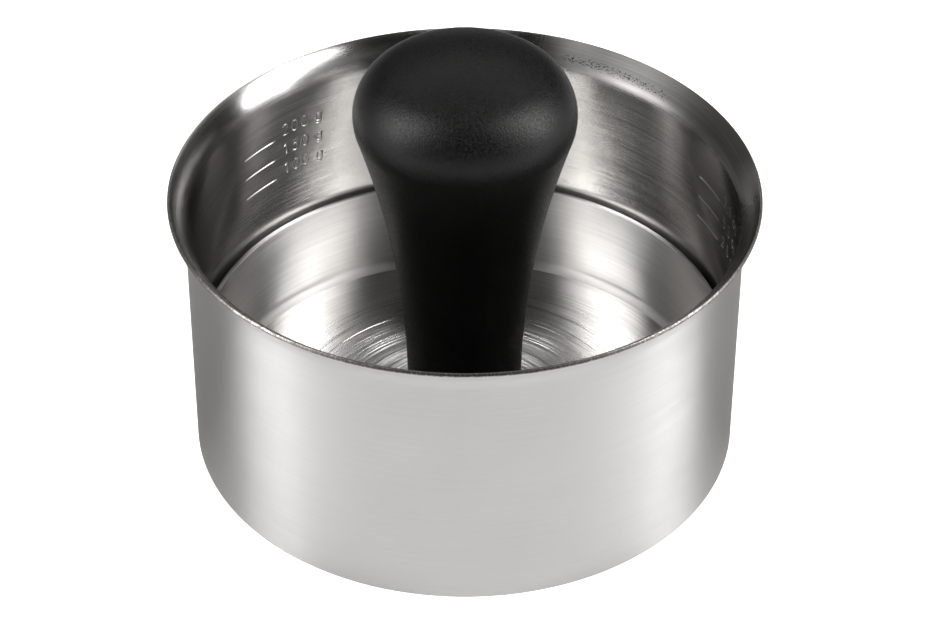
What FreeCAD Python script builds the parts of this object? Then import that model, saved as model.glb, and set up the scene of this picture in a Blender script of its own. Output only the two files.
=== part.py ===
import FreeCAD, Part
import math
import os

import Sketcher

# Patty press: a flared steel forming ring stands on the work surface, and a press
# slides down inside it. The press is a shallow steel pan with a stud welded to its
# upper face, and a black handle is screwed down on the stud over a thin seal.
#
# Origin: centre of the ring's lower edge, on the surface that both parts stand on.
# +Z is up, along the common axis. Millimetres and degrees.

doc = FreeCAD.newDocument("PattyPress")
sheet = doc.addObject("Spreadsheet::Sheet", "Sizes")

DRIVING_SIZES = [
    ("ring_diameter", 114.0, "outside of the ring's straight wall"),
    ("ring_height", 60.0, "work surface to the lip, before its edge is broken"),
    ("ring_wall", 0.8, "sheet thickness of the ring"),
    ("flare_round", 7.0, "outside radius of the lip's outward curve"),
    ("flare_angle", 59.0, "how far the lip turns out from upright"),
    ("edge_break", 0.25, "rounding of the cut sheet edges"),
    ("slide_gap", 0.9, "radial gap from the ring's bore to the press plate"),
    ("plate_wall", 1.0, "sheet thickness of the press plate"),
    ("plate_depth", 22.3, "overall height of the press plate"),
    ("plate_corner", 1.8, "inside radius between its floor and its wall"),
    ("mince_density", 0.001, "grams of meat in a cubic millimetre"),
    ("lightest_patty", 100.0, "grams, at the lowest mark"),
    ("patty_step", 50.0, "grams from one mark to the next"),
    ("mark_count", 3, "marks in each scale"),
    ("mark_lead", 2.1, "extra height of every mark, for papers and loose meat"),
    ("mark_width", 0.4, "width of a stamped line"),
    ("mark_sweep", 10.0, "angle that a stamped line covers"),
    ("gram_scale_at", 136.8, "angle where the gram scale's lines begin"),
    ("ounce_scale_at", 17.5, "angle where the ounce scale's lines begin"),
    ("handle_top", 91.3, "work surface to the top of the handle"),
    ("head_diameter", 45.0, "widest part of the handle's head"),
    ("head_round", 11.4, "radius round the side of the head"),
    ("dome_round", 42.0, "radius over the top of the head"),
    ("waist_diameter", 24.0, "narrowest part of the handle"),
    ("waist_rise", 8.0, "handle's foot to its narrowest part"),
    ("grip_skin", 2.5, "thickness of the soft skin over the core"),
    ("seal_thickness", 1.0, "silicone washer under the handle's foot"),
    ("seal_inset", 0.6, "how far the washer stands back from the foot's edge"),
    ("thread_diameter", 6.0, "M6 thread, as a plain cylinder"),
    ("thread_gap", 0.05, "radial gap from the stud to the insert"),
    ("stud_length", 17.0, "plate to the tip of the stud"),
    ("stud_tip", 0.8, "chamfer at the tip of the stud"),
    ("flange_diameter", 7.5, "welded flange at the root of the stud"),
    ("flange_thickness", 1.2, "height of that flange"),
    ("flange_gap", 0.4, "radial gap from the flange to the seal and the core"),
    ("insert_diameter", 9.0, "outside of the knurled insert"),
    ("insert_length", 13.0, "length of the insert"),
    ("insert_recess", 1.5, "handle's foot to the lower end of the insert"),
    ("insert_band", 3.0, "width of the plain groove round its middle"),
    ("knurl_depth", 0.35, "depth of the knurl and of that groove"),
    ("knurl_count", 20, "grooves round the insert"),
    ("tip_room", 2.0, "free depth above the tip of the stud"),
]

WORKED_OUT_SIZES = [
    ("ring_radius", "ring_diameter / 2"),
    ("bore_radius", "ring_radius - ring_wall"),
    ("flare_start", "ring_height - (flare_round + ring_wall) * sin(flare_angle * 1deg)"),
    ("plate_radius", "bore_radius - slide_gap"),
    ("plate_inside", "plate_radius - plate_wall"),
    ("mark_pitch", "patty_step / mince_density / (pi * bore_radius ^ 2)"),
    ("lowest_mark", "plate_depth + mark_lead + mark_pitch * lightest_patty / patty_step"),
    ("foot_height", "plate_wall + seal_thickness"),
    ("waist_height", "foot_height + waist_rise"),
    ("head_out", "head_diameter / 2 - head_round"),
    ("head_up", "handle_top - dome_round + sqrt((dome_round - head_round) ^ 2 - head_out ^ 2)"),
    ("neck_length", "head_up - waist_height"),
    ("neck_step", "waist_diameter / 2 - head_out"),
    ("neck_round",
     "(neck_step ^ 2 + neck_length ^ 2 - head_round ^ 2) / (2 * (head_round - neck_step))"),
    ("foot_radius",
     "waist_diameter / 2 + neck_round - sqrt(neck_round ^ 2 - waist_rise ^ 2)"),
    ("thread_radius", "thread_diameter / 2"),
    ("flange_radius", "flange_diameter / 2"),
    ("flange_hole", "flange_radius + flange_gap"),
    ("stud_top", "plate_wall + stud_length"),
    ("insert_radius", "insert_diameter / 2"),
    ("insert_bottom", "foot_height + insert_recess"),
    ("insert_top", "insert_bottom + insert_length"),
]

HORIZONTAL_AXIS = -1
UPRIGHT_AXIS = -2
START, END, CENTRE = 1, 2, 3
SIDEWAYS = FreeCAD.Vector(0, 0, 1)


def fill_sheet():
    """Column A says what a size is; column B holds it under its alias."""
    rows = [(alias, str(value), meaning) for alias, value, meaning in DRIVING_SIZES]
    rows += [(alias, "=" + formula, "worked out") for alias, formula in WORKED_OUT_SIZES]
    for number, (alias, content, meaning) in enumerate(rows, start=1):
        sheet.set("A%d" % number, meaning)
        sheet.set("B%d" % number, content)
        sheet.setAlias("B%d" % number, alias)
    doc.recompute()


def size(expression):
    """What an expression over the sheet comes to, as a plain number."""
    return float(sheet.evalExpression(expression))


def tied(expression):
    """The same expression, written so that another object can use it."""
    words = []
    word = ""
    for letter in expression + " ":
        if letter.isalnum() or letter == "_":
            word += letter
            continue
        if "_" in word:
            word = "Sizes." + word
        words.append(word + letter)
        word = ""
    return "".join(words).strip()


# ------------------------------------------------------------------ helpers


def new_body(name):
    body = doc.addObject("PartDesign::Body", name)
    body.Label = name
    return body


def origin_of(body, role):
    """One of the body's own origin planes or axes."""
    for feature in body.Origin.OriginFeatures:
        if feature.Role == role:
            return feature
    raise ValueError("%s has no %s" % (body.Label, role))


def new_sketch(body, name, role="XZ_Plane"):
    """An empty sketch; on XZ_Plane its own x and y run outward and up."""
    sketch = body.newObject("Sketcher::SketchObject", name)
    sketch.AttachmentSupport = [(origin_of(body, role), "")]
    sketch.MapMode = "FlatFace"
    return sketch


def bind(sketch, name, kind, where, expression):
    """Add a dimension to a sketch and tie it to the sheet."""
    index = sketch.addConstraint(Sketcher.Constraint(kind, *where, size(expression)))
    sketch.renameConstraint(index, name)
    sketch.setExpression("Constraints." + name, tied(expression))


def bind_point(sketch, name, geometry, end, outward, up):
    """Fix a point by its distances from the axes; None puts it on that axis."""
    origin = (HORIZONTAL_AXIS, START)
    if outward is None:
        sketch.addConstraint(Sketcher.Constraint("PointOnObject", geometry, end, UPRIGHT_AXIS))
    else:
        bind(sketch, name + "_out", "DistanceX", origin + (geometry, end), outward)
    if up is None:
        sketch.addConstraint(Sketcher.Constraint("PointOnObject", geometry, end, HORIZONTAL_AXIS))
    else:
        bind(sketch, name + "_up", "DistanceY", origin + (geometry, end), up)


def draw_corners(sketch, corners):
    """A closed outline of straight lines through corners given as (outward, up)."""
    points = []
    for outward, up in corners:
        points.append(FreeCAD.Vector(size(outward or "0"), size(up or "0"), 0))
    for index, point in enumerate(points):
        following = points[(index + 1) % len(points)]
        sketch.addGeometry(Part.LineSegment(point, following), False)
    for index in range(len(points)):
        following = (index + 1) % len(points)
        sketch.addConstraint(Sketcher.Constraint("Coincident", index, END, following, START))
    for index, (outward, up) in enumerate(corners):
        bind_point(sketch, "corner_%d" % index, index, START, outward, up)


def turn(body, sketch, name, kind="PartDesign::Revolution"):
    """Revolve a sketch once round the body's upright axis."""
    feature = body.newObject(kind, name)
    feature.Profile = sketch
    feature.ReferenceAxis = (origin_of(body, "Z_Axis"), [""])
    feature.Angle = 360
    doc.recompute()
    return feature


def turned(body, name, corners):
    """A solid of revolution from a straight-sided outline."""
    sketch = new_sketch(body, name + "_outline")
    draw_corners(sketch, corners)
    return turn(body, sketch, name)


def turned_cut(body, name, corners):
    """A hollow of revolution from a straight-sided outline."""
    before = body.Shape.Volume
    sketch = new_sketch(body, name + "_outline")
    draw_corners(sketch, corners)
    feature = turn(body, sketch, name, "PartDesign::Groove")
    must_be_less(body, before)
    return feature


def must_be_less(body, before):
    """A cut that points away from the solid takes nothing off and says nothing."""
    doc.recompute()
    if not body.Shape.Volume < before - 1e-6:
        raise ValueError("a cut took nothing off " + body.Label)


def round_edges(body, name, radius, places):
    """Round the circular edges found at (outward, up) places."""
    base = body.Tip
    names = []
    for outward, up in places:
        names.append(edge_at(base.Shape, size(outward), size(up or "0")))
    feature = body.newObject("PartDesign::Fillet", name)
    feature.Base = (base, names)
    feature.Radius = size(radius)
    feature.setExpression("Radius", tied(radius))
    doc.recompute()
    return feature


def edge_at(shape, outward, up):
    """Name of the level circular edge with this radius at this height."""
    for index, edge in enumerate(shape.Edges, start=1):
        curve = edge.Curve
        if not isinstance(curve, Part.Circle):
            continue
        if abs(curve.Radius - outward) < 1e-4 and abs(curve.Center.z - up) < 1e-4:
            return "Edge%d" % index
    raise ValueError("no edge of radius %g at height %g" % (outward, up))


# ------------------------------------------------------------- forming ring


def draw_ring_wall(sketch):
    """Half section of the rolled strip: upright wall, then a lip curved outward."""
    lip_turn = math.radians(size("flare_angle"))
    bend = FreeCAD.Vector(size("ring_radius + flare_round"), size("flare_start"), 0)
    inner_round = size("flare_round + ring_wall")
    outer_round = size("flare_round")
    to_lip = FreeCAD.Vector(-math.cos(lip_turn), math.sin(lip_turn), 0)
    inner_foot = FreeCAD.Vector(size("bore_radius"), 0, 0)
    outer_foot = FreeCAD.Vector(size("ring_radius"), 0, 0)
    inner_bend = bend - FreeCAD.Vector(inner_round, 0, 0)
    outer_bend = bend - FreeCAD.Vector(outer_round, 0, 0)

    sketch.addGeometry(Part.LineSegment(inner_foot, inner_bend), False)
    inner_wall = 0
    for radius in (inner_round, outer_round):
        circle = Part.Circle(bend, SIDEWAYS, radius)
        sketch.addGeometry(Part.ArcOfCircle(circle, math.pi - lip_turn, math.pi), False)
    inner_lip, outer_lip = 1, 2
    edge_ends = (bend + to_lip * inner_round, bend + to_lip * outer_round)
    sketch.addGeometry(Part.LineSegment(*edge_ends), False)
    lip_edge = 3
    sketch.addGeometry(Part.LineSegment(outer_bend, outer_foot), False)
    outer_wall = 4
    sketch.addGeometry(Part.LineSegment(outer_foot, inner_foot), False)
    foot = 5

    for constraint in [
        ("Tangent", inner_wall, END, inner_lip, END),
        ("Coincident", inner_lip, START, lip_edge, START),
        ("Coincident", lip_edge, END, outer_lip, START),
        ("Tangent", outer_lip, END, outer_wall, START),
        ("Coincident", outer_wall, END, foot, START),
        ("Coincident", foot, END, inner_wall, START),
        ("Vertical", inner_wall),
        ("Vertical", outer_wall),
        ("Horizontal", foot),
        ("Horizontal", inner_wall, END, outer_wall, START),
        ("PointOnObject", inner_wall, START, HORIZONTAL_AXIS),
        ("PointOnObject", inner_lip, CENTRE, lip_edge),
    ]:
        sketch.addConstraint(Sketcher.Constraint(*constraint))
    origin = (HORIZONTAL_AXIS, START)
    bind(sketch, "bore", "DistanceX", origin + (inner_wall, START), "bore_radius")
    bind(sketch, "outside", "DistanceX", origin + (outer_wall, END), "ring_radius")
    bind(sketch, "bend_starts", "DistanceY", origin + (inner_wall, END), "flare_start")
    bind(sketch, "height", "DistanceY", origin + (inner_lip, START), "ring_height")
    bind(sketch, "inner_round", "Radius", (inner_lip,), "flare_round + ring_wall")
    bind(sketch, "outer_round", "Radius", (outer_lip,), "flare_round")


def stamp_marks(ring, scale, starts_at):
    """Half-round lines stamped into the bore, one for each weight of patty."""
    for number in range(int(size("mark_count"))):
        before = ring.Shape.Volume
        line = ring.newObject("PartDesign::SubtractiveTorus", "%s_mark_%d" % (scale, number + 1))
        line.setExpression("Radius1", tied("bore_radius"))
        line.setExpression("Radius2", tied("mark_width / 2"))
        line.setExpression("Angle3", tied("mark_sweep"))
        line.setExpression("Placement.Base.z", tied("lowest_mark + %d * mark_pitch" % number))
        line.setExpression("Placement.Rotation.Angle", tied(starts_at))
        must_be_less(ring, before)


def build_forming_ring():
    ring = new_body("forming_ring")
    sketch = new_sketch(ring, "ring_wall_section")
    draw_ring_wall(sketch)
    turn(ring, sketch, "rolled_wall")
    lip = "ring_radius + flare_round - (flare_round + %s) * cos(flare_angle * 1deg)"
    lip_up = "flare_start + (flare_round + %s) * sin(flare_angle * 1deg)"
    round_edges(ring, "cut_edges", "edge_break", [
        (lip % "0", lip_up % "0"),
        (lip % "ring_wall", lip_up % "ring_wall"),
        ("bore_radius", None),
        ("ring_radius", None),
    ])
    stamp_marks(ring, "gram", "gram_scale_at")
    stamp_marks(ring, "ounce", "ounce_scale_at")
    return ring


# -------------------------------------------------------------- press plate


def build_press_plate():
    """Shallow drawn pan: flat floor, rounded corner, upright wall, plain edge."""
    plate = new_body("press_plate")
    turned(plate, "drawn_pan", [
        (None, None),
        ("plate_radius", None),
        ("plate_radius", "plate_depth"),
        ("plate_inside", "plate_depth"),
        ("plate_inside", "plate_wall"),
        (None, "plate_wall"),
    ])
    round_edges(plate, "inside_corner", "plate_corner", [("plate_inside", "plate_wall")])
    round_edges(plate, "outside_corner", "plate_corner + plate_wall", [("plate_radius", None)])
    round_edges(plate, "rim_edges", "edge_break", [
        ("plate_inside", "plate_depth"),
        ("plate_radius", "plate_depth"),
    ])
    return plate


# ------------------------------------------------- stud, seal and brass insert


def build_weld_stud():
    stud = new_body("weld_stud")
    turned(stud, "stud", [
        (None, "plate_wall"),
        ("flange_radius", "plate_wall"),
        ("flange_radius", "plate_wall + flange_thickness"),
        ("thread_radius", "plate_wall + flange_thickness"),
        ("thread_radius", "stud_top - stud_tip"),
        ("thread_radius - stud_tip", "stud_top"),
        (None, "stud_top"),
    ])
    return stud


def build_foot_seal():
    seal = new_body("foot_seal")
    turned(seal, "washer", [
        ("flange_hole", "plate_wall"),
        ("foot_radius - seal_inset", "plate_wall"),
        ("foot_radius - seal_inset", "foot_height"),
        ("flange_hole", "foot_height"),
    ])
    return seal


def build_thread_insert():
    """Knurled bush with a plain groove round its middle that locks it in the core."""
    insert = new_body("thread_insert")
    turned(insert, "bush", [
        ("thread_radius + thread_gap", "insert_bottom"),
        ("insert_radius", "insert_bottom"),
        ("insert_radius", "insert_top"),
        ("thread_radius + thread_gap", "insert_top"),
    ])
    middle = "(insert_bottom + insert_top) / 2"
    turned_cut(insert, "locking_groove", [
        ("insert_radius - knurl_depth", middle + " - insert_band / 2"),
        ("insert_radius + knurl_depth", middle + " - insert_band / 2"),
        ("insert_radius + knurl_depth", middle + " + insert_band / 2"),
        ("insert_radius - knurl_depth", middle + " + insert_band / 2"),
    ])
    cut_knurl(insert)
    return insert


def cut_knurl(insert):
    """One V groove along the bush, repeated round it."""
    before = insert.Shape.Volume
    sketch = new_sketch(insert, "knurl_groove_section", "XY_Plane")
    root = FreeCAD.Vector(size("insert_radius - knurl_depth"), 0, 0)
    mouth = [
        FreeCAD.Vector(size("insert_radius + knurl_depth"), side * size("2 * knurl_depth"), 0)
        for side in (-1, 1)
    ]
    for start, finish in ((root, mouth[0]), (mouth[0], mouth[1]), (mouth[1], root)):
        sketch.addGeometry(Part.LineSegment(start, finish), False)
    root_line, mouth_line, return_line = 0, 1, 2
    for constraint in [
        ("Coincident", root_line, END, mouth_line, START),
        ("Coincident", mouth_line, END, return_line, START),
        ("Coincident", return_line, END, root_line, START),
        ("Symmetric", mouth_line, START, mouth_line, END, HORIZONTAL_AXIS),
    ]:
        sketch.addConstraint(Sketcher.Constraint(*constraint))
    bind_point(sketch, "root", root_line, START, "insert_radius - knurl_depth", None)
    origin = (HORIZONTAL_AXIS, START)
    bind(sketch, "mouth", "DistanceX", origin + (mouth_line, START), "insert_radius + knurl_depth")
    bind(sketch, "width", "DistanceY", (mouth_line, START, mouth_line, END), "4 * knurl_depth")

    groove = insert.newObject("PartDesign::Pocket", "knurl_groove")
    groove.Profile = sketch
    groove.Type = "Length"
    groove.Reversed = True
    groove.setExpression("Length", tied("insert_top"))
    must_be_less(insert, before)

    before = insert.Shape.Volume
    knurl = insert.newObject("PartDesign::PolarPattern", "knurl")
    knurl.Originals = [groove]
    knurl.Axis = (origin_of(insert, "Z_Axis"), [""])
    knurl.Angle = 360
    knurl.Occurrences = int(size("knurl_count"))
    knurl.setExpression("Occurrences", tied("knurl_count"))
    insert.Tip = knurl
    must_be_less(insert, before)


# ------------------------------------------------------------------- handle


def draw_handle(sketch, inset):
    """Half section of the handle, or the same outline standing inset inside it.

    A hollow neck arc, a round head arc and a shallow dome arc run into each other
    smoothly, from the foot to the top on the axis."""
    neck_round = size("neck_round + " + inset)
    head_round = size("head_round - " + inset)
    dome_round = size("dome_round - " + inset)
    neck_centre = FreeCAD.Vector(size("waist_diameter / 2 + neck_round"), size("waist_height"), 0)
    head_centre = FreeCAD.Vector(size("head_out"), size("head_up"), 0)
    dome_centre = FreeCAD.Vector(0, size("handle_top - dome_round"), 0)
    neck_to_head = head_centre - neck_centre
    dome_to_head = head_centre - dome_centre
    neck_joint = math.atan2(neck_to_head.y, neck_to_head.x)
    dome_joint = math.atan2(dome_to_head.y, dome_to_head.x)
    foot_turn = math.pi + math.asin(size("waist_rise") / neck_round)

    neck_circle = Part.Circle(neck_centre, SIDEWAYS, neck_round)
    head_circle = Part.Circle(head_centre, SIDEWAYS, head_round)
    dome_circle = Part.Circle(dome_centre, SIDEWAYS, dome_round)
    foot_end = neck_circle.value(foot_turn)
    foot_middle = FreeCAD.Vector(0, foot_end.y, 0)
    top = FreeCAD.Vector(0, size("handle_top - " + inset), 0)
    sketch.addGeometry(Part.LineSegment(foot_middle, foot_end), False)
    sketch.addGeometry(Part.ArcOfCircle(neck_circle, neck_joint, foot_turn), False)
    sketch.addGeometry(Part.ArcOfCircle(head_circle, neck_joint - math.pi, dome_joint), False)
    sketch.addGeometry(Part.ArcOfCircle(dome_circle, dome_joint, math.pi / 2), False)
    sketch.addGeometry(Part.LineSegment(top, foot_middle), False)
    foot, neck, head, dome, axis = range(5)

    for constraint in [
        ("Coincident", foot, END, neck, END),
        ("Tangent", neck, START, head, START),
        ("Tangent", head, END, dome, START),
        ("Coincident", dome, END, axis, START),
        ("Coincident", axis, END, foot, START),
        ("Horizontal", foot),
        ("PointOnObject", dome, CENTRE, UPRIGHT_AXIS),
        ("PointOnObject", axis, START, UPRIGHT_AXIS),
    ]:
        sketch.addConstraint(Sketcher.Constraint(*constraint))
    origin = (HORIZONTAL_AXIS, START)
    bind_point(sketch, "foot", foot, START, None, "foot_height")
    bind(sketch, "top", "DistanceY", origin + (axis, START), "handle_top - " + inset)
    bind(sketch, "dome_round", "Radius", (dome,), "dome_round - " + inset)
    bind(sketch, "head_round", "Radius", (head,), "head_round - " + inset)
    bind(sketch, "neck_round", "Radius", (neck,), "neck_round + " + inset)
    bind(sketch, "head_out", "DistanceX", origin + (head, CENTRE), "head_out")
    bind(sketch, "waist_height", "DistanceY", origin + (neck, CENTRE), "waist_height")


def build_handle_core():
    """Hard moulding that holds the insert and stands clear of the stud's tip."""
    core = new_body("handle_core")
    sketch = new_sketch(core, "core_section")
    draw_handle(sketch, "grip_skin")
    turn(core, sketch, "moulding")
    turned_cut(core, "stud_socket", [
        (None, "foot_height"),
        ("flange_hole", "foot_height"),
        ("flange_hole", "insert_bottom"),
        ("insert_radius", "insert_bottom"),
        ("insert_radius", "insert_top"),
        ("flange_hole", "insert_top"),
        ("flange_hole", "stud_top + tip_room"),
        (None, "stud_top + tip_room"),
    ])
    return core


def build_handle_grip():
    """Soft skin of even thickness, open at the foot where the core shows."""
    grip = new_body("handle_grip")
    outside = new_sketch(grip, "grip_section")
    draw_handle(outside, "0")
    turn(grip, outside, "outside")
    before = grip.Shape.Volume
    inside = new_sketch(grip, "grip_hollow_section")
    draw_handle(inside, "grip_skin")
    turn(grip, inside, "core_space", "PartDesign::Groove")
    must_be_less(grip, before)
    return grip


# -------------------------------------------------------- build, check, write

fill_sheet()
parts = [
    build_forming_ring(),
    build_press_plate(),
    build_weld_stud(),
    build_foot_seal(),
    build_thread_insert(),
    build_handle_core(),
    build_handle_grip(),
]
doc.recompute()

for item in doc.Objects:
    if "Invalid" in item.State or "Error" in item.State:
        raise ValueError("%s failed: %s" % (item.Label, item.State))
for part in parts:
    if part.Shape.isNull() or not part.Shape.isValid():
        raise ValueError(part.Label + " has no sound shape")
    if len(part.Shape.Solids) != 1:
        raise ValueError(part.Label + " is not one solid")

os.makedirs("parts", exist_ok=True)
for part in parts:
    part.Shape.exportStep("parts/%s.step" % part.Label)
    box = part.Shape.optimalBoundingBox(False)
    print("%-14s %9.1f mm3   z %6.2f to %6.2f   widest %6.2f" % (
        part.Label, part.Shape.Volume, box.ZMin, box.ZMax, box.XLength))
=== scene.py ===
import math

import bmesh
import bpy
from mathutils import Matrix, Vector


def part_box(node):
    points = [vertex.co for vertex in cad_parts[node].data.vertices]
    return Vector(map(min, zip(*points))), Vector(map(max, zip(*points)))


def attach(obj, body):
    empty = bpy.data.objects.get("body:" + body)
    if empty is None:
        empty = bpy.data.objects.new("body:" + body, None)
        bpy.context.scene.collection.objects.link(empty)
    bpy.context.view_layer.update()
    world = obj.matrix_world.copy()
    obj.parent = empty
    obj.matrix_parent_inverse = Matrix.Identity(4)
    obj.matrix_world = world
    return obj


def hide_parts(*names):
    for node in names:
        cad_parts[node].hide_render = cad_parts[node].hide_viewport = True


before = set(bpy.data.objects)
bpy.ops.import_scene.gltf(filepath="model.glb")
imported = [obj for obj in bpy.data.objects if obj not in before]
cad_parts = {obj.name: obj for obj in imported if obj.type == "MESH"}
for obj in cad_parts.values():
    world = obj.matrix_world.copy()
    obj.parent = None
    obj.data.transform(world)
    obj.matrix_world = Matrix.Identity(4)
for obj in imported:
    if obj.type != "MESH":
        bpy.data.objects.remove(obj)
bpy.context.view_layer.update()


# ---------------------------------------------------------------- camera
# A short tele lens on a stand looks down into the ring from in front of it.
# It aims at the middle of the ring and hangs a hair out of level.

camera_down = math.radians(37.83)
camera_away = 0.6435
camera_roll = 0.003
camera_aim = Vector((0.0001, 0.0, 0.0285))

lens = bpy.data.cameras.new("camera")
lens.lens = 119.15
lens.sensor_width = 36.0
lens.dof.use_dof = False
camera = bpy.data.objects.new("camera", lens)
bpy.context.scene.collection.objects.link(camera)
camera_side = Vector((0.0, -math.cos(camera_down), math.sin(camera_down)))
camera.matrix_world = (
    Matrix.Translation(camera_aim + camera_side * camera_away)
    @ Matrix.Rotation(math.pi / 2 - camera_down, 4, "X")
    @ Matrix.Rotation(camera_roll, 4, "Z")
)
bpy.context.scene.camera = camera
bpy.context.scene.view_settings.view_transform = "Standard"


# ---------------------------------------------------------------- forming ring
# A strip of stainless steel rolled into a cylinder and butt-welded, with its top edge
# spun outward into a lip. The wall is brushed round; the cut edges are only deburred.

ring_radius = 0.057
ring_wall = 0.0008
ring_height = 0.060
wall_levels = (0.0, 0.001, 0.02, 0.04)
lip_round = 0.007
lip_turn = math.radians(59.0)
lip_steps = 12
edge_break = 0.00022
edge_lean = 0.3
round_steps = 256
outside_skin, inside_skin, edge_skin, mark_skin = range(4)


def link_piece(bm, name, body, stands_for):
    """Make a finished bmesh a shown piece that rides on a body and stands for a CAD node."""
    mesh = bpy.data.meshes.new(name)
    bm.to_mesh(mesh)
    bm.free()
    mesh.shade_smooth()
    piece = bpy.data.objects.new(name, mesh)
    bpy.context.scene.collection.objects.link(piece)
    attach(piece, body)
    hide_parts(stands_for)
    return piece


def draw_line(bm, points):
    """Draw a chain of edges through (outward, up) points and return its last vertex."""
    chain = [bm.verts.new((outward, 0.0, up)) for outward, up in points]
    for one, following in zip(chain, chain[1:]):
        bm.edges.new((one, following))
    return chain[-1]


def draw_arc(bm, start, centre, sweep, steps):
    """Carry the chain on from a vertex, clockwise about a centre, and return its last vertex."""
    made = bmesh.ops.spin(
        bm, geom=[start], cent=(centre[0], 0.0, centre[1]), axis=(0, 1, 0),
        angle=sweep, steps=steps,
    )
    return made["geom_last"][0]


def turn_round(bm, steps=round_steps):
    """Spin the drawn section once round the upright axis into a closed skin, facing out."""
    bmesh.ops.spin(
        bm, geom=bm.verts[:] + bm.edges[:], cent=(0, 0, 0), axis=(0, 0, 1),
        angle=math.tau, steps=steps, use_merge=True,
    )
    bmesh.ops.remove_doubles(bm, verts=bm.verts, dist=1e-7)
    bmesh.ops.recalc_face_normals(bm, faces=bm.faces)
    widest = max(bm.faces, key=lambda face: face.calc_center_median().xy.length)
    if widest.normal.xy.dot(widest.calc_center_median().xy) < 0:
        bmesh.ops.reverse_faces(bm, faces=bm.faces)


def round_sharp_edges(bm, width, segments=4, least=math.radians(50)):
    """Round every edge where two faces meet at a sharp angle."""
    sharp = [e for e in bm.edges if len(e.link_faces) == 2 and e.calc_face_angle() > least]
    bmesh.ops.bevel(
        bm, geom=sharp, offset=width, offset_type="OFFSET", affect="EDGES",
        segments=segments, profile=0.5, material=-1, clamp_overlap=True,
    )


def make_ring():
    """Turn the wall's outer line and its lip, thicken them inward and deburr the edges."""
    bm = bmesh.new()
    lip_starts = ring_height - (lip_round + ring_wall) * math.sin(lip_turn)
    wall_top = draw_line(bm, [(ring_radius, up) for up in (*wall_levels, lip_starts)])
    draw_arc(bm, wall_top, (ring_radius + lip_round, lip_starts), lip_turn, lip_steps)
    turn_round(bm)
    bmesh.ops.solidify(bm, geom=bm.faces[:], thickness=ring_wall)
    round_sharp_edges(bm, edge_break)
    lip_end = lip_starts + lip_round * math.sin(lip_turn)
    for face in bm.faces:
        centre = face.calc_center_median()
        leans_out = face.normal.xy.dot(centre.xy.normalized())
        faces_edge = leans_out * math.sin(lip_turn) + face.normal.z * math.cos(lip_turn)
        if face.normal.z < -edge_lean and centre.z < edge_break * 2:
            face.material_index = edge_skin
        elif centre.z > lip_end - edge_break / 2 and faces_edge > edge_lean:
            face.material_index = edge_skin
        elif leans_out < 0:
            face.material_index = inside_skin
        else:
            face.material_index = outside_skin
    return link_piece(bm, "ring_with_lip", "ring", "forming_ring")


ring = make_ring()


class Nodes:
    """A material's node tree, with short ways to add and join its nodes."""

    def __init__(self, name):
        self.material = bpy.data.materials.new(name)
        self.material.use_nodes = True
        self.tree = self.material.node_tree
        self.shader = self.tree.nodes["Principled BSDF"]
        self.place = self.tree.nodes.new("ShaderNodeTexCoord").outputs["Object"]

    def add(self, kind, settings=None, **sockets):
        """Add a node; settings are its own properties, sockets its inputs by name."""
        node = self.tree.nodes.new("ShaderNode" + kind)
        for name, value in (settings or {}).items():
            setattr(node, name, value)
        for name, value in sockets.items():
            self.feed(node.inputs[name.replace("_", " ")], value)
        return node.outputs[0]

    def feed(self, socket, value):
        """Set a socket to a number or a colour, or join another node's output to it."""
        if isinstance(value, bpy.types.NodeSocket):
            self.tree.links.new(value, socket)
        else:
            socket.default_value = value

    def maths(self, operation, *values):
        """Join values with a sum, a product or the like."""
        node = self.tree.nodes.new("ShaderNodeMath")
        node.operation = operation
        for socket, value in zip(node.inputs, values):
            self.feed(socket, value)
        return node.outputs[0]

    def vector(self, operation, *values):
        """The same for places, directions and colours."""
        node = self.tree.nodes.new("ShaderNodeVectorMath")
        node.operation = operation
        for socket, value in zip(node.inputs, values):
            self.feed(socket, value)
        out = "Value" if operation in ("LENGTH", "DOT_PRODUCT") else "Vector"
        return node.outputs[out]

    def along(self, axis):
        """How far along X, Y or Z a point lies."""
        return self.add("SeparateXYZ", Vector=self.place).node.outputs[axis]

    def flat_place(self):
        """The place seen from above, with its height left out."""
        return self.vector("MULTIPLY", self.place, (1.0, 1.0, 0.0))

    def noise(self, vector, scale, detail, roughness):
        """Lumpy noise between 0 and 1, with so many lumps to a unit of the vector."""
        return self.add(
            "TexNoise", Vector=vector, Scale=scale, Detail=detail, Roughness=roughness
        )

    def blend(self, one, other, share):
        """A share of one value with the rest of the other."""
        first = self.maths("MULTIPLY", one, share)
        return self.maths("ADD", first, self.maths("MULTIPLY", other, 1.0 - share))

    def bump(self, height, depth):
        """A normal for a surface that rises with the height, by up to the depth in metres."""
        return self.add("Bump", Strength=1.0, Distance=depth, Height=height)

    def ranged(self, value, low, high, new_low, new_high, smooth=False):
        """Turn a value that runs from low to high into one from new_low to new_high."""
        node = self.tree.nodes.new("ShaderNodeMapRange")
        node.interpolation_type = "SMOOTHSTEP" if smooth else "LINEAR"
        for socket, number in zip(node.inputs, (value, low, high, new_low, new_high)):
            self.feed(socket, number)
        return node.outputs[0]

    def ramp(self, value, stops):
        """A colour ramp from a list of (place, colour)."""
        node = self.tree.nodes.new("ShaderNodeValToRGB")
        points = node.color_ramp.elements
        while len(points) < len(stops):
            points.new(0.5)
        for point, (place, colour) in zip(points, stops):
            point.position = place
            point.color = (*colour, 1.0)
        self.feed(node.inputs["Fac"], value)
        return node.outputs["Color"]

    def finish(self, **sockets):
        """Feed the shader's own sockets and return the material."""
        for name, value in sockets.items():
            self.feed(self.shader.inputs[name.replace("_", " ")], value)
        return self.material


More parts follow.
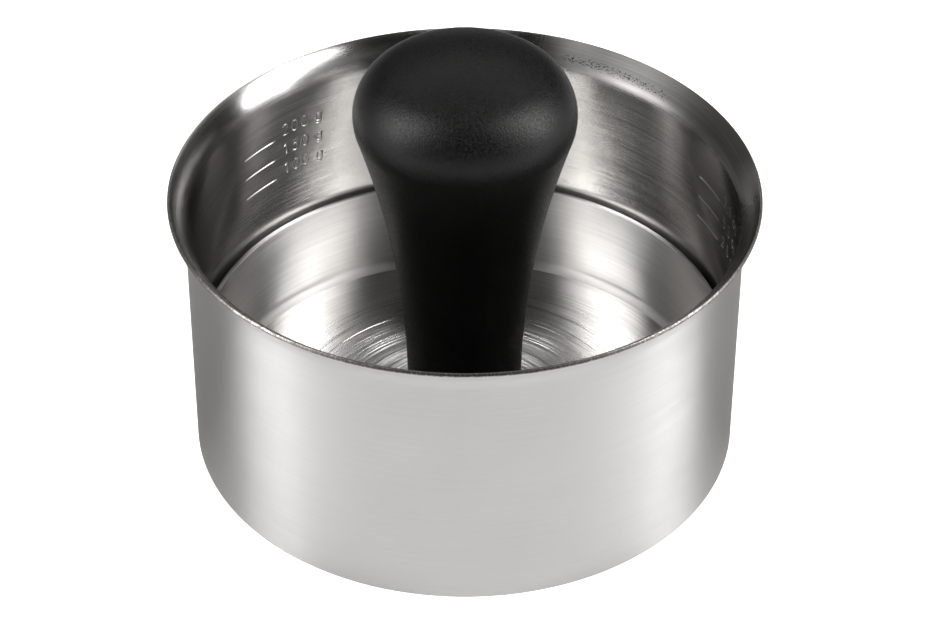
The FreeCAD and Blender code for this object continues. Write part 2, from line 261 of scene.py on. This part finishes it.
def round_grain(nodes, along, across):
    """A place that changes slowly round the axis and fast from one brush line to the next."""
    flat = nodes.flat_place()
    heading = nodes.vector("MULTIPLY", nodes.vector("NORMALIZE", flat), (along,) * 3)
    reach = nodes.maths("ADD", nodes.vector("LENGTH", flat), nodes.along("Z"))
    line = nodes.maths("MULTIPLY", reach, across)
    upward = nodes.add("CombineXYZ", X=0.0, Y=0.0, Z=line)
    return nodes.vector("ADD", heading, upward)


# Brush lines: how often they break in one turn, and how many of them there are to a metre.
fine_lines = (2.2, 3400.0)
coarse_lines = (1.0, 1000.0)
score_lines = (0.7, 5600.0)
fine_share = 0.75
line_share = 0.7
cloud_scale = 70.0
polish_swing = 0.12
warmth = (1.0, 0.97, 0.94)
across_the_lines = 0.25


def brushed_steel(
    name, tint, contrast, roughness, anisotropy, line_depth, edge_tint=1.0, wear=None, lean=None
):
    """Stainless steel brushed round the axis: fine and coarse lines, clouds and light wear.

    The edge tint is how bright it is when looked along, as a share of clean steel. The
    line depth may be a function of the nodes. Wear is a function that alters the colour
    and the polish, and lean one that says how steeply single lines tip in and out."""
    nodes = Nodes(name)
    fine = nodes.noise(round_grain(nodes, *fine_lines), 1.0, 2.0, 0.6)
    coarse = nodes.noise(round_grain(nodes, *coarse_lines), 1.0, 2.0, 0.5)
    cloud = nodes.noise(nodes.place, cloud_scale, 4.0, 0.6)
    lines = nodes.blend(fine, coarse, fine_share)
    tone = nodes.blend(lines, cloud, line_share)
    dark = [channel * (1.0 - contrast) for channel in tint]
    light = [channel * (1.0 + contrast) for channel in tint]
    colour = nodes.ramp(tone, [(0.32, dark), (0.68, light)])
    matt = nodes.ranged(
        tone, 0.3, 0.7, roughness * (1.0 - polish_swing), roughness * (1.0 + polish_swing)
    )
    normal = nodes.bump(lines, line_depth(nodes) if callable(line_depth) else line_depth)
    if lean:
        scores = nodes.noise(round_grain(nodes, *score_lines), 1.0, 3.0, 0.7)
        slope = nodes.maths("MULTIPLY", nodes.maths("SUBTRACT", scores, 0.5), lean(nodes))
        outward = nodes.vector("NORMALIZE", nodes.flat_place())
        normal = nodes.vector("ADD", normal, nodes.vector("MULTIPLY", outward, slope))
        normal = nodes.vector("NORMALIZE", normal)
    if wear:
        colour, matt = wear(nodes, colour, matt)
    tangent = nodes.add("Tangent", {"direction_type": "RADIAL", "axis": "Z"})
    return nodes.finish(
        Base_Color=colour, Metallic=1.0, Roughness=matt, Anisotropic=anisotropy,
        Anisotropic_Rotation=across_the_lines, Tangent=tangent, Normal=normal,
        Specular_Tint=(*[edge_tint * share for share in warmth], 1.0),
    )


outside_satin = brushed_steel(
    "ring_outside_satin", (0.335, 0.333, 0.331),
    contrast=0.05, roughness=0.37, anisotropy=0.95, line_depth=1.0e-6,
)

# Wear of the bore, by heading from +X and by height, and painted shade on the lip. A pair of
# wear numbers is the share of the colour that is kept, and the roughness that is added.
seam_heading = math.radians(73.75)
seam_half_width = math.radians(0.45)
seam_line = (0.0010, 0.0035)
seam_darkness = 0.65
pits_heading = math.radians(54.5)
pits_reach = math.radians(15.0)
pits_height = 0.0568
pits_band = (0.0003, 0.0011)
pits_round = 90.0
pits_upward = 3600.0
pits_edge = (0.55, 0.60)
pits_darkness = 0.9
worn_spread = 0.25
lip_band = (0.0525, 0.0575)
lip_wear = (0.75, 0.06)
# Painted shade: the lip is darkened round this heading, to dim its highlight on that side, and
# made rougher there.
lip_shade_heading = math.radians(36.0)
lip_shade_reach = (math.radians(22.0), math.radians(42.0))
lip_shade_and_matt = (0.35, 0.36)


def away_from(nodes, value, middle):
    """How far a value is from a middle, either way."""
    return nodes.maths("ABSOLUTE", nodes.maths("SUBTRACT", value, middle))


def bore_wear(nodes, colour, matt):
    """The planished weld, a row of pits that the polishing left, a duller lip, and painted shade
    that darkens the lip on one side.
    """
    height = nodes.along("Z")
    heading = nodes.maths("ARCTAN2", nodes.along("Y"), nodes.along("X"))
    from_seam = away_from(nodes, away_from(nodes, heading, seam_heading), seam_half_width)
    seam = nodes.ranged(from_seam, *seam_line, seam_darkness, 0.0)
    row = nodes.ranged(away_from(nodes, height, pits_height), *pits_band, 1.0, 0.0)
    from_pits = away_from(nodes, heading, pits_heading)
    row = nodes.maths(
        "MULTIPLY", row, nodes.ranged(from_pits, pits_reach * 0.8, pits_reach, 1.0, 0.0)
    )
    chips = nodes.add(
        "CombineXYZ", X=nodes.maths("MULTIPLY", heading, pits_round), Y=0.0,
        Z=nodes.maths("MULTIPLY", height, pits_upward),
    )
    chipped = nodes.ranged(nodes.noise(chips, 1.0, 2.0, 0.6), *pits_edge, 0.0, pits_darkness)
    worn = nodes.maths("MAXIMUM", seam, nodes.maths("MULTIPLY", chipped, row))
    lip = nodes.ranged(height, *lip_band, 0.0, 1.0, True)
    # Painted shade darkens the lip on one side; that part is also rougher.
    from_lip_shade = away_from(nodes, heading, lip_shade_heading)
    lip_shade = nodes.maths("MULTIPLY", lip, nodes.ranged(from_lip_shade, *lip_shade_reach, 1.0, 0.0, True))
    keep = nodes.maths("SUBTRACT", 1.0, worn)
    for amount, (kept, spread) in ((lip, lip_wear), (lip_shade, lip_shade_and_matt)):
        keep = nodes.maths("MULTIPLY", keep, nodes.ranged(amount, 0.0, 1.0, 1.0, kept))
        matt = nodes.maths("ADD", matt, nodes.maths("MULTIPLY", amount, spread))
    matt = nodes.maths("ADD", matt, nodes.maths("MULTIPLY", worn, worn_spread))
    return nodes.vector("MULTIPLY", colour, keep), matt


inside_smooth = brushed_steel(
    "ring_inside_smooth", (0.60, 0.590, 0.580),
    contrast=0.26, roughness=0.18, anisotropy=0.94, line_depth=2.0e-6, edge_tint=0.2,
    wear=bore_wear,
)


filed_grains = 2400.0
filed_patches = 260.0
filed_depth = 7.0e-6
filed_colours = [
    (0.34, (0.080, 0.073, 0.067)), (0.52, (0.15, 0.142, 0.134)), (0.68, (0.34, 0.33, 0.32)),
]


def filed_steel(name):
    """A cut edge taken down by hand: bright and dark grains, no brushing direction."""
    nodes = Nodes(name)
    grains = nodes.noise(nodes.place, filed_grains, 2.0, 0.6)
    patches = nodes.noise(nodes.place, filed_patches, 3.0, 0.6)
    tone = nodes.blend(grains, patches, 0.7)
    return nodes.finish(
        Base_Color=nodes.ramp(tone, filed_colours), Metallic=1.0,
        Roughness=nodes.ranged(tone, 0.35, 0.65, 0.50, 0.28),
        Normal=nodes.bump(grains, filed_depth),
    )


cut_edge = filed_steel("deburred_cut_edge")
stamped_mark = brushed_steel(
    "stamped_mark", (0.50, 0.49, 0.48),
    contrast=0.15, roughness=0.30, anisotropy=0.2, line_depth=1.0e-6,
)
ring_finishes = (outside_satin, inside_smooth, cut_edge, stamped_mark)
for finish in ring_finishes:
    ring.data.materials.append(finish)


# ---------------------------------------------------------------- fill marks
# Two scales pressed into the bore with a round-nosed tool: three short lines each, with
# the weight of the patty beside them, in grams on one side and in ounces on the other.

bore_radius = ring_radius - ring_wall
mark_line = 0.00017
figure_tall = 0.0026
figure_gap = 0.00226
figure_lift = 0.0003
lowest_mark = 0.034478
mark_step = 0.005039
line_sweep = math.radians(10.0)
line_steps = 12
scales = (
    (math.radians(146.8), ("100 g", "150 g", "200 g")),
    (math.radians(27.5), ("3.5 oz", "5.3 oz", "7.1 oz")),
)


def bow(across, up, half_wide, half_tall, first, last, steps=16):
    """Points along part of an oval, in shares of a figure's height; angles in degrees."""
    turns = [math.radians(first + (last - first) * step / steps) for step in range(steps + 1)]
    return [(across + half_wide * math.cos(t), up + half_tall * math.sin(t)) for t in turns]


# The strokes of each figure, in shares of its height.
figures = {
    "0": [bow(0.32, 0.5, 0.31, 0.5, 90, 450)],
    "1": [[(0.12, 0.80), (0.36, 1.0), (0.36, 0.0)]],
    "2": [bow(0.31, 0.71, 0.27, 0.29, 160, -35) + [(0.03, 0.0), (0.60, 0.0)]],
    "3": [bow(0.29, 0.75, 0.24, 0.25, 150, -80), bow(0.29, 0.26, 0.29, 0.26, 80, -150)],
    "5": [[(0.55, 1.0), (0.13, 1.0), (0.08, 0.54)] + bow(0.28, 0.33, 0.30, 0.33, 130, -150)],
    "7": [[(0.03, 1.0), (0.60, 1.0), (0.22, 0.0)]],
    ".": [bow(0.08, 0.03, 0.03, 0.03, 90, 450, 8)],
    "g": [
        bow(0.30, 0.36, 0.27, 0.35, 90, 450),
        [(0.57, 0.72)] + bow(0.31, -0.02, 0.26, 0.24, 0, -150, 12),
    ],
    "o": [bow(0.30, 0.34, 0.28, 0.34, 90, 450)],
    "z": [[(0.04, 0.68), (0.52, 0.68), (0.04, 0.0), (0.54, 0.0)]],
}
# How far a narrow figure moves the next one on, in shares of a height; others take 1.
figure_steps = {".": 0.32, " ": 0.42, "o": 0.85}


def draw_mark(curve, turn, up, points):
    """Lay a line of (round the bore, upward) points on the bore, from a heading and a height."""
    closed = math.dist(points[0], points[-1]) < 1e-9
    if closed:
        points = points[:-1]
    line = curve.splines.new("POLY")
    line.points.add(len(points) - 1)
    line.use_cyclic_u = closed
    for point, (along, rise) in zip(line.points, points):
        heading = turn - along / bore_radius
        point.co = (
            bore_radius * math.cos(heading), bore_radius * math.sin(heading), up + rise, 1.0,
        )


def draw_marks():
    """Draw both scales as one curve with a round section."""
    curve = bpy.data.curves.new("marks", "CURVE")
    curve.dimensions = "3D"
    curve.bevel_depth = mark_line
    curve.bevel_resolution = 2
    curve.use_fill_caps = True
    sweep = line_sweep * bore_radius
    for turn, labels in scales:
        for row, label in enumerate(labels):
            up = lowest_mark + mark_step * row
            line = [(sweep * step / line_steps, 0.0) for step in range(line_steps + 1)]
            draw_mark(curve, turn, up, line)
            along = sweep + figure_gap
            for letter in label:
                for stroke in figures.get(letter, []):
                    points = [(along + x * figure_tall, y * figure_tall) for x, y in stroke]
                    draw_mark(curve, turn, up + figure_lift, points)
                along += figure_tall * figure_steps.get(letter, 1.0)
    return bpy.data.objects.new("marks", curve)


def press_marks():
    """Cut the marks into the ring and keep the bore smooth between them."""
    drawn = draw_marks()
    cutter = bpy.data.objects.new("mark_cutter", bpy.data.meshes.new_from_object(drawn))
    bpy.context.scene.collection.objects.link(cutter)
    for finish in ring_finishes:
        cutter.data.materials.append(finish)
    for face in cutter.data.polygons:
        face.material_index = mark_skin
    cut = ring.modifiers.new("marks", "BOOLEAN")
    cut.operation = "DIFFERENCE"
    cut.solver = "EXACT"
    cut.use_self = True
    cut.object = cutter
    seen = ring.evaluated_get(bpy.context.evaluated_depsgraph_get())
    ring.data = bpy.data.meshes.new_from_object(seen)
    ring.modifiers.clear()
    bpy.data.objects.remove(cutter)
    bpy.data.objects.remove(drawn)


on_bore = 1e-5


def smooth_bore(mesh):
    """Point the bore's shading straight at the axis, as the cut faces are long and thin."""
    normals = [corner.vector.copy() for corner in mesh.corner_normals]
    for face in mesh.polygons:
        if face.material_index != inside_skin:
            continue
        for corner in face.loop_indices:
            place = mesh.vertices[mesh.loops[corner].vertex_index].co
            if abs(place.xy.length - bore_radius) < on_bore and place.z > edge_break * 2:
                normals[corner] = Vector((-place.x, -place.y, 0.0)).normalized()
    mesh.normals_split_custom_set(normals)


press_marks()
smooth_bore(ring.data)


# ---------------------------------------------------------------- press plate
# A shallow round pan deep-drawn from 1 mm stainless sheet, its floor brushed in rings
# about the handle. It slides down inside the forming ring and flattens the meat.

plate_radius = 0.0553
plate_wall = 0.001
plate_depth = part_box("press_plate")[1].z
plate_corner = 0.0018
corner_steps = 10
floor_rows = 4
flat_enough = 0.98
floor_skin, side_skin, top_skin = range(3)


def make_plate():
    """Turn the pan's underside and side, thicken them upward and deburr the edge."""
    bm = bmesh.new()
    outer_corner = plate_corner + plate_wall
    flat = plate_radius - outer_corner
    floor_edge = draw_line(bm, [(flat * row / floor_rows, 0.0) for row in range(floor_rows + 1)])
    wall_foot = draw_arc(bm, floor_edge, (flat, outer_corner), -math.pi / 2, corner_steps)
    lip = bm.verts.new((plate_radius, 0.0, plate_depth))
    bm.edges.new((wall_foot, lip))
    turn_round(bm)
    bmesh.ops.solidify(bm, geom=bm.faces[:], thickness=plate_wall)
    round_sharp_edges(bm, edge_break)
    for face in bm.faces:
        if face.calc_center_median().z > plate_depth - edge_break / 2:
            face.material_index = top_skin
        elif abs(face.normal.z) < flat_enough:
            face.material_index = side_skin
        else:
            face.material_index = floor_skin
    return link_piece(bm, "press_pan", "press", "press_plate")


plate = make_plate()


# The floor's rings change between two distances from the axis, outer and inner.
depth_zone = (0.044, 0.016)
depth_range = (3.0e-6, 3.0e-5)
matt_zone = (0.041, 0.026)
matt_added = 0.13
lean_zone = (0.051, 0.030)
lean_range = (0.4, 4.0)


def from_axis(nodes):
    """How far a point lies from the axis."""
    return nodes.vector("LENGTH", nodes.flat_place())


def ring_depth(nodes):
    """The turned rings of the floor are deepest about the foot of the handle."""
    return nodes.ranged(from_axis(nodes), *depth_zone, *depth_range)


def floor_wear(nodes, colour, matt):
    """The rings also scatter more of the light towards the middle."""
    added = nodes.ranged(from_axis(nodes), *matt_zone, 0.0, matt_added, True)
    return colour, nodes.maths("ADD", matt, added)


def floor_lean(nodes):
    """Each turned ring leans in or out a little, and most about the foot of the handle."""
    return nodes.ranged(from_axis(nodes), *lean_zone, *lean_range, True)


plate_floor = brushed_steel(
    "plate_floor_rings", (0.50, 0.497, 0.492),
    contrast=0.30, roughness=0.15, anisotropy=0.97, line_depth=ring_depth, wear=floor_wear,
    lean=floor_lean,
)


# Painted shade in the corner at the foot of the pan's side: the share of the colour kept, and the
# roughness added there.
corner_shade = 0.80
corner_spread = 0.16


def corner_painted_shade(nodes, colour, matt):
    """Painted shade darkens the drawn corner at the foot of the side, which is also rougher than
    the brushed side.
    """
    foot = plate_wall * 1.2
    head = plate_wall + plate_corner * 1.1
    corner = nodes.ranged(nodes.along("Z"), foot, head, 1.0, 0.0, True)
    keep = nodes.ranged(corner, 0.0, 1.0, 1.0, corner_shade)
    matt = nodes.maths("ADD", matt, nodes.maths("MULTIPLY", corner, corner_spread))
    return nodes.vector("MULTIPLY", colour, keep), matt


plate_side = brushed_steel(
    "plate_side_drawn", (0.48, 0.474, 0.468),
    contrast=0.15, roughness=0.34, anisotropy=0.97, line_depth=2.5e-6, wear=corner_painted_shade,
)
plate_edge = brushed_steel(
    "plate_trimmed_edge", (0.32, 0.315, 0.31),
    contrast=0.20, roughness=0.38, anisotropy=0.30, line_depth=3.0e-6,
)
for finish in (plate_floor, plate_side, plate_edge):
    plate.data.materials.append(finish)


# ---------------------------------------------------------------- handle grip
# One moulded black plastic knob and stem, hollow over a core. Its outline is three
# arcs that run into each other: a flat dome, a round shoulder and a long neck.

foot_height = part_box("handle_grip")[0].z
head_radius = 0.0225
head_arc = 0.0114
dome_arc = 0.042
grip_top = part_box("handle_grip")[1].z
waist_radius = 0.012
waist_height = 0.010
dome_steps = 14
head_steps = 30
neck_steps = 36
grip_steps = 160
foot_break = 0.0004


def make_grip():
    """Turn the knob from its crown down: dome, shoulder, neck and the flat foot."""
    bm = bmesh.new()
    dome_centre = Vector((0.0, grip_top - dome_arc))
    head_reach = head_radius - head_arc
    dome_turn = math.asin(head_reach / (dome_arc - head_arc))
    head_up = dome_centre.y + (dome_arc - head_arc) * math.cos(dome_turn)
    head_centre = Vector((head_reach, head_up))
    inward = waist_radius - head_centre.x
    upward = head_centre.y - waist_height
    neck_arc = (inward ** 2 + upward ** 2 - head_arc ** 2) / (2 * (head_arc - inward))
    neck_centre = Vector((waist_radius + neck_arc, waist_height))
    neck_turn = math.asin(upward / (neck_arc + head_arc))
    head_turn = math.pi / 2 - dome_turn + neck_turn
    foot_turn = math.asin((waist_height - foot_height) / neck_arc)
    top = bm.verts.new((0.0, 0.0, grip_top))
    shoulder = draw_arc(bm, top, dome_centre, dome_turn, dome_steps)
    under = draw_arc(bm, shoulder, head_centre, head_turn, head_steps)
    foot = draw_arc(bm, under, neck_centre, -neck_turn - foot_turn, neck_steps)
    middle = bm.verts.new((0.0, 0.0, foot_height))
    bm.edges.new((foot, middle))
    turn_round(bm, grip_steps)
    round_sharp_edges(bm, foot_break)
    return link_piece(bm, "knob_and_stem", "press", "handle_grip")


grip = make_grip()


mould_pits = 2200.0
mould_clouds = 90.0


def moulded_plastic(name, dark, light, roughness, grain, index=1.45, stem_shade=None):
    """Moulded stuff with a fine spark-eroded grain and faint cloudy handling marks.

    If given, the last argument (low, high, least) is painted shade: the reflection is dimmed
    below a height, on the stem under the head."""
    nodes = Nodes(name)
    pits = nodes.noise(nodes.place, mould_pits, 2.0, 0.6)
    cloud = nodes.noise(nodes.place, mould_clouds, 3.0, 0.6)
    colour = nodes.ramp(nodes.blend(pits, cloud, 0.7), [(0.42, dark), (0.66, light)])
    matt = nodes.ranged(pits, 0.3, 0.7, roughness * 0.80, roughness * 1.20)
    nodes.finish(Base_Color=colour, Roughness=matt, Normal=nodes.bump(pits, grain), IOR=index)
    if stem_shade:
        # Painted shade: the specular tint falls off below the head, dimming the stem's
        # reflection.
        low, high, least = stem_shade
        stem_shade_fade = nodes.ranged(nodes.along("Z"), low, high, least, 1.0, True)
        nodes.finish(Specular_Tint=stem_shade_fade)
    return nodes.material


# The stem below the head gets painted shade: its reflection is dimmed.
grip.data.materials.append(moulded_plastic(
    "grained_black_plastic", (0.0002, 0.0002, 0.0002), (0.0046, 0.0044, 0.0043),
    roughness=0.46, grain=7.0e-5, index=1.30, stem_shade=(0.052, 0.080, 0.19),
))


# ---------------------------------------------------------------- parts inside the handle
# Hidden in the hollow grip: a welded stud, a silicone foot washer, a knurled brass
# insert and the plastic core that it is moulded into.

tool_lines = (0.5, 6000.0)
tool_depth = 3.0e-6
stain_scale = 300.0


def turned_metal(name, dark, light):
    """A small part off the lathe: fine tool lines round it and a few cloudy stains."""
    nodes = Nodes(name)
    lines = nodes.noise(round_grain(nodes, *tool_lines), 1.0, 2.0, 0.5)
    stains = nodes.noise(nodes.place, stain_scale, 3.0, 0.6)
    tone = nodes.blend(lines, stains, 0.5)
    return nodes.finish(
        Base_Color=nodes.ramp(tone, [(0.35, dark), (0.65, light)]), Metallic=1.0,
        Roughness=nodes.ranged(tone, 0.3, 0.7, 0.24, 0.36), Normal=nodes.bump(lines, tool_depth),
    )


inner_finishes = {
    "weld_stud": turned_metal("turned_stud_steel", (0.42, 0.41, 0.40), (0.60, 0.59, 0.57)),
    "foot_seal": moulded_plastic(
        "silicone_rubber", (0.02, 0.02, 0.02), (0.035, 0.035, 0.035),
        roughness=0.6, grain=5.0e-6,
    ),
    "thread_insert": turned_metal("turned_brass", (0.60, 0.42, 0.15), (0.78, 0.58, 0.26)),
    "handle_core": moulded_plastic(
        "core_nylon", (0.10, 0.10, 0.10), (0.16, 0.16, 0.16), roughness=0.55, grain=5.0e-6
    ),
}
for node_name, finish in inner_finishes.items():
    cad_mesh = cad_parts[node_name].data
    cad_mesh.materials.clear()
    cad_mesh.materials.append(finish)


# ---------------------------------------------------------------- studio
# A wide white table in a pale tent. Tall soft boxes stand left and right of the ring, a
# dim one hangs behind it and a very dim one overhead. Polished steel mirrors a sheet of
# its own instead of the table, with a painted glow in front of the ring and a painted
# shadow under and behind it.

table_radius = 4.0
table_white = (0.82, 0.82, 0.82, 1.0)
table_glow = (0.55, 1.0)
table_near_and_far = (0.4, 2.0)
sheet_drop = 0.0002
# The sheet that the steel mirrors changes between these two places along Y: a painted glow and
# full white in front of the ring, a painted shadow under and behind it.
sheet_front_and_back = (-0.055, -0.005)
sheet_painted_shadow = (0.86, 0.38)
sheet_painted_glow = (0.58, 0.05)
tent_radius = 3.9
tent_white = (0.9, 0.9, 0.9, 1.0)
tent_glow = 0.9
clean_white = (1.0, 1.0, 1.0, 1.0)
paper_roughness = 0.9
lamp_colour = (1.0, 0.993, 0.984)
room_light = (0.01, 0.01, 0.01, 1.0)


def set_stage(name, bm, material):
    """Make a bmesh a piece of the stage."""
    mesh = bpy.data.meshes.new(name)
    bm.to_mesh(mesh)
    bm.free()
    mesh.materials.append(material)
    piece = bpy.data.objects.new(name, mesh)
    bpy.context.scene.collection.objects.link(piece)
    return piece


def table_disc():
    """A flat round sheet as wide as the table."""
    bm = bmesh.new()
    bmesh.ops.create_circle(bm, cap_ends=True, segments=96, radius=table_radius)
    return bm


paper = Nodes("white_paper")
away = paper.vector("LENGTH", paper.place)
paper.finish(
    Base_Color=table_white, Roughness=paper_roughness, Emission_Color=clean_white,
    Emission_Strength=paper.ranged(away, *table_near_and_far, *table_glow),
)
table_top = set_stage("table_top", table_disc(), paper.material)
table_top.visible_glossy = False
table_top.visible_shadow = False

# Painted glow and shadow on the sheet the steel mirrors: white and glowing in front of the ring,
# darker under and behind it.
painted_glow_and_shadow = Nodes("painted_glow_and_shadow")
back = painted_glow_and_shadow.along("Y")
painted_glow_and_shadow.finish(
    Base_Color=painted_glow_and_shadow.ranged(back, *sheet_front_and_back, *sheet_painted_shadow),
    Roughness=paper_roughness, Emission_Color=clean_white,
    Emission_Strength=painted_glow_and_shadow.ranged(back, *sheet_front_and_back, *sheet_painted_glow),
)
shadow_sheet = set_stage("shadow_sheet", table_disc(), painted_glow_and_shadow.material)
shadow_sheet.data.transform(Matrix.Translation((0.0, 0.0, -sheet_drop)))
shadow_sheet.visible_camera = False
shadow_sheet.visible_diffuse = False
shadow_sheet.visible_shadow = False

pale_cloth = Nodes("pale_cloth")
pale_cloth.finish(
    Base_Color=tent_white, Roughness=paper_roughness,
    Emission_Color=clean_white, Emission_Strength=tent_glow,
)
bm = bmesh.new()
bmesh.ops.create_uvsphere(bm, u_segments=48, v_segments=24, radius=tent_radius)
bmesh.ops.reverse_faces(bm, faces=bm.faces)
backdrop = set_stage("backdrop", bm, pale_cloth.material)
backdrop.visible_glossy = False
backdrop.visible_diffuse = False
backdrop.visible_shadow = False


def soft_box(name, heading, rise, away, width, height, power):
    """A large soft panel that faces the ring, from a heading and a rise in degrees.

    Heading 0 is the camera's side, and 90 is its right."""
    light = bpy.data.lights.new(name, "AREA")
    light.shape = "RECTANGLE"
    light.size = width
    light.size_y = height
    light.energy = power
    light.color = lamp_colour
    lamp = bpy.data.objects.new(name, light)
    bpy.context.scene.collection.objects.link(lamp)
    turn = math.radians(heading)
    lift = math.radians(rise)
    towards = Vector((
        math.sin(turn) * math.cos(lift), -math.cos(turn) * math.cos(lift), math.sin(lift),
    ))
    lamp.location = towards * away
    lamp.rotation_euler = towards.to_track_quat("Z", "Y").to_euler()
    lamp.visible_camera = False


soft_box("soft_box_left", heading=-77.0, rise=36.0, away=1.0, width=0.42, height=0.88, power=14.0)
soft_box("soft_box_right", heading=86.0, rise=36.0, away=1.0, width=0.40, height=0.90, power=16.3)
soft_box("soft_box_back", heading=180.0, rise=50.0, away=1.2, width=1.2, height=0.60, power=3.0)
soft_box("soft_box_above", heading=0.0, rise=90.0, away=1.0, width=0.22, height=0.22, power=0.18)

world = bpy.data.worlds.new("studio")
world.use_nodes = True
world.node_tree.nodes["Background"].inputs["Color"].default_value = room_light
bpy.context.scene.world = world
